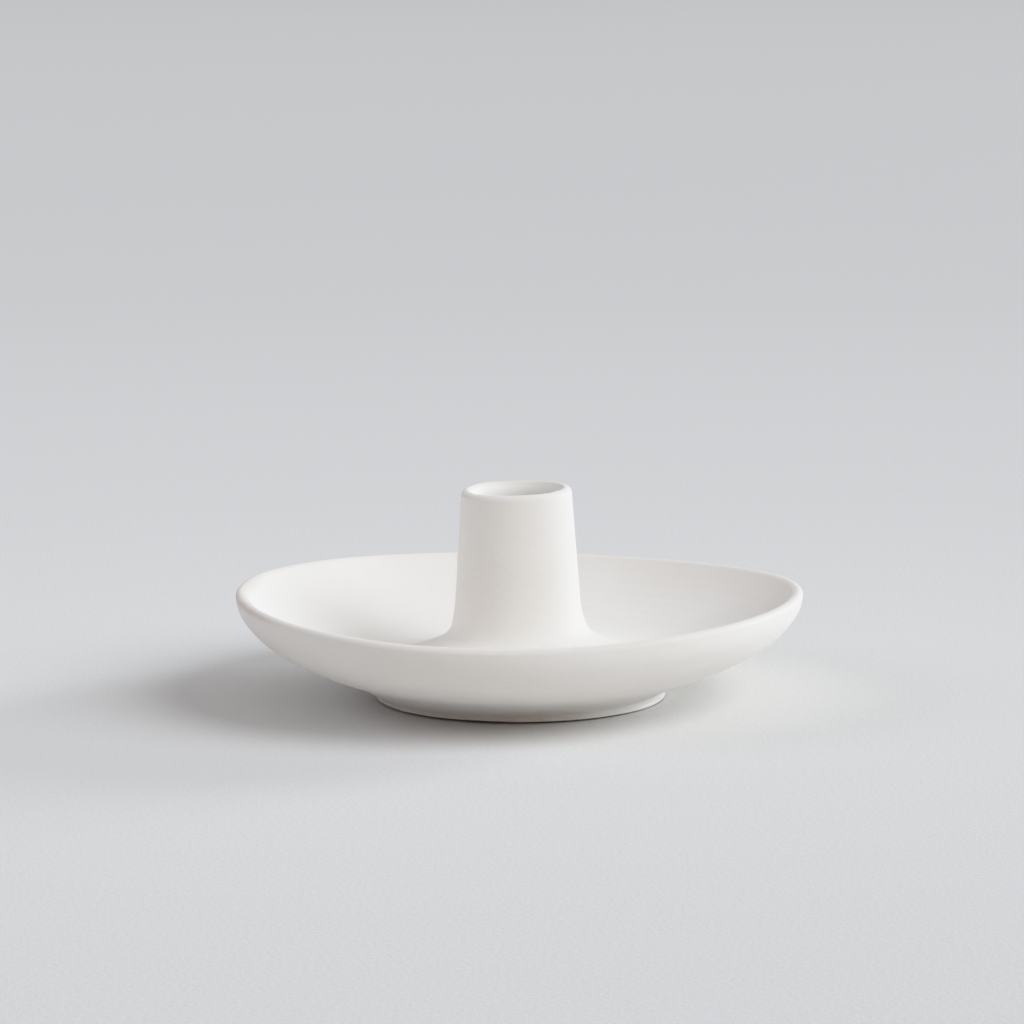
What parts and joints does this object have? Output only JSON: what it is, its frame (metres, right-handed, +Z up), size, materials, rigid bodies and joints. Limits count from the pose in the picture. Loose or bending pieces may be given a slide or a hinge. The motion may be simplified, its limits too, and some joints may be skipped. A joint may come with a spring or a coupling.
{
  "type": "candle plate",
  "caption": "Shallow round stoneware dish on a foot ring with a hollow tapering candle socket rising from its middle, under a matt white glaze; it holds a taper candle and catches wax.",
  "frame": {"origin": "middle of the foot ring's bearing face, on the surface that the plate stands on", "axes": "+Z up along the socket's axis; +X and +Y are free, because the plate is round; in the picture +X is to the right and -Y is towards the camera"},
  "size_m": [0.15, 0.15, 0.0556],
  "materials": {
    "stoneware": "bare fired stoneware, fine-grained, matt",
    "slip": "fired clay slip, matt",
    "white_glaze": "matt warm white glaze, very faint sheen"
  },
  "bodies": {
    "root": {"dish": "stoneware", "foot_ring": "stoneware", "foot_slip": "slip", "candle_socket": "stoneware", "socket_slip": "slip", "socket_fillet": "stoneware", "glaze_coat": "white_glaze", "base_glaze": "white_glaze"}
  },
  "joints": []
}
